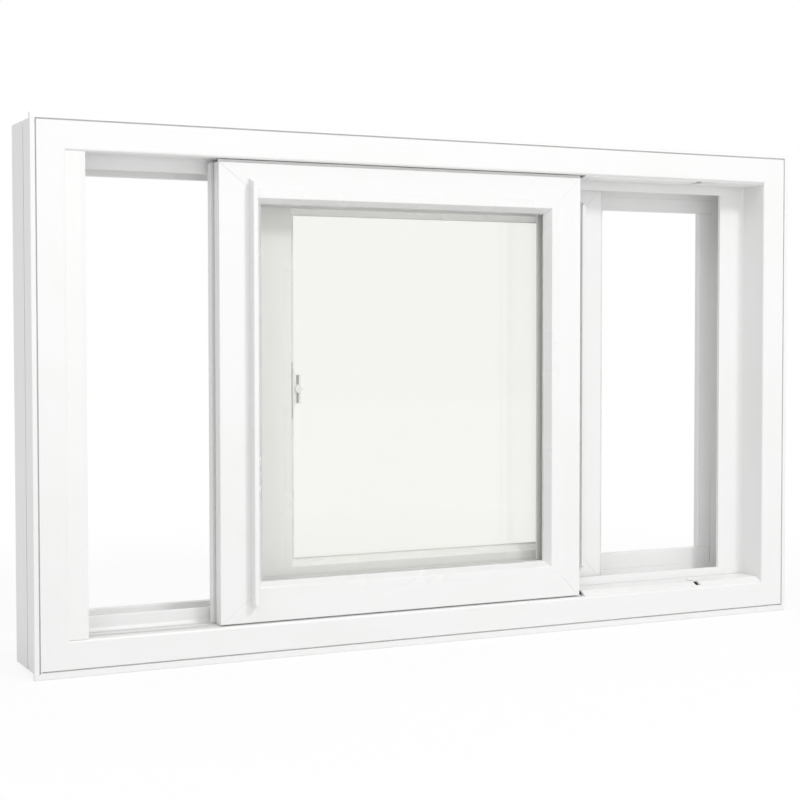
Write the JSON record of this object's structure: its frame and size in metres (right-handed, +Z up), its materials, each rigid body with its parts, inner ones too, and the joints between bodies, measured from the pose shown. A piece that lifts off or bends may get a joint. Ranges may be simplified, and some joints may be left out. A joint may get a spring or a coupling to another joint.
{
  "type": "horizontal sliding window",
  "caption": "White PVC double sliding window: two glazed sashes run side by side in a mitred frame with a stepped two-track profile.",
  "frame": {"origin": "on the sill's underside, at mid length and mid depth of the frame", "axes": "+X along the window to the right as seen from the room, +Y towards the outside, +Z up"},
  "size_m": [1.2, 0.128, 0.725],
  "materials": {
    "bead_pvc": "satin",
    "cover_pvc": "satin",
    "frame_pvc": "satin",
    "gasket_rubber": "matt",
    "glass": "clear",
    "latch_plastic": "satin",
    "pile": "brushed",
    "roller_nylon": "matt",
    "sash_pvc": "satin",
    "spacer_metal": "mill",
    "stop_pvc": "satin",
    "track_pvc": "satin"
  },
  "bodies": {
    "frame": {"frame_head": "frame_pvc", "frame_left_jamb": "frame_pvc", "frame_right_jamb": "frame_pvc", "frame_sill": "frame_pvc", "front_track_piles": "pile", "front_track_rail": "track_pvc", "head_track_cover": "cover_pvc", "left_jamb_cover": "cover_pvc", "rear_stop_head": "stop_pvc", "rear_stop_jamb": "stop_pvc", "rear_stop_sill": "stop_pvc", "rear_track_rail": "track_pvc", "sill_track_cover": "cover_pvc"},
    "front_sash": {"front_sash_bottom_bead": "bead_pvc", "front_sash_bottom_rail": "sash_pvc", "front_sash_edge_seal": "gasket_rubber", "front_sash_gasket": "gasket_rubber", "front_sash_guides": "roller_nylon", "front_sash_inner_pane": "glass", "front_sash_left_bead": "bead_pvc", "front_sash_left_stile": "sash_pvc", "front_sash_outer_pane": "glass", "front_sash_right_bead": "bead_pvc", "front_sash_right_stile": "sash_pvc", "front_sash_rollers": "roller_nylon", "front_sash_spacer": "spacer_metal", "front_sash_top_bead": "bead_pvc", "front_sash_top_rail": "sash_pvc"},
    "rear_sash": {"latch_plate": "latch_plastic", "rear_sash_bottom_bead": "bead_pvc", "rear_sash_bottom_rail": "sash_pvc", "rear_sash_edge_seal": "gasket_rubber", "rear_sash_gasket": "gasket_rubber", "rear_sash_guides": "roller_nylon", "rear_sash_inner_pane": "glass", "rear_sash_left_bead": "bead_pvc", "rear_sash_left_stile": "sash_pvc", "rear_sash_outer_pane": "glass", "rear_sash_right_bead": "bead_pvc", "rear_sash_right_stile": "sash_pvc", "rear_sash_rollers": "roller_nylon", "rear_sash_spacer": "spacer_metal", "rear_sash_top_bead": "bead_pvc", "rear_sash_top_rail": "sash_pvc"},
    "latch_lever": {"latch_lever": "latch_plastic"}
  },
  "joints": [
    {"name": "front_sash_slide", "type": "slide", "parent": "frame", "child": "front_sash", "axis": [-1, 0, 0], "range_m": [0, 0.201]},
    {"name": "rear_sash_slide", "type": "slide", "parent": "frame", "child": "rear_sash", "axis": [1, 0, 0], "range_m": [0, 0.2455]},
    {"name": "latch_turn", "type": "hinge", "parent": "rear_sash", "child": "latch_lever", "pos_m": [-0.21025, 0.0052, 0.3605], "axis": [0, 1, 0], "range_deg": [0, 90]}
  ]
}
